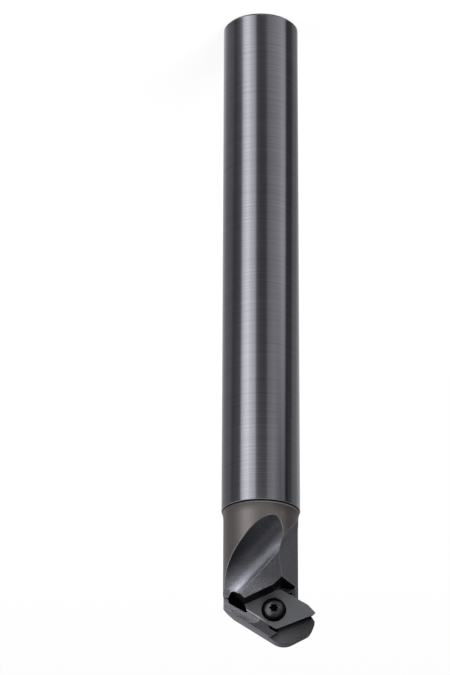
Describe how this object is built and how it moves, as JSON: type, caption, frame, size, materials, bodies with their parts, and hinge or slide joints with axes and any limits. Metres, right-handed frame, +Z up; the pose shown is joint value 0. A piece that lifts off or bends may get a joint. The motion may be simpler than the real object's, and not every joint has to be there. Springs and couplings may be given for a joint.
{
  "type": "boring bar",
  "caption": "Round steel bar for internal turning: a ground shank, a slightly thinner neck with a slanted chip groove, and a nose carrying a screwed-down cutting insert.",
  "frame": {"origin": "centre of the flat back end of the shank", "axes": "+Z runs up the bar axis to the cutting head, -X is the side the nose and insert tip point to, -Y is the rake side that the insert's top face looks to"},
  "size_m": [0.0296, 0.025, 0.2162],
  "materials": {
    "bar_steel": "ground on the shank, milled and blued on the head",
    "carbide": "fine ground sintered carbide",
    "black_screw": "black oxide on steel, satin"
  },
  "bodies": {
    "root": {"bar_body": "bar_steel", "insert": "carbide", "clamp_screw": "black_screw"}
  },
  "joints": []
}
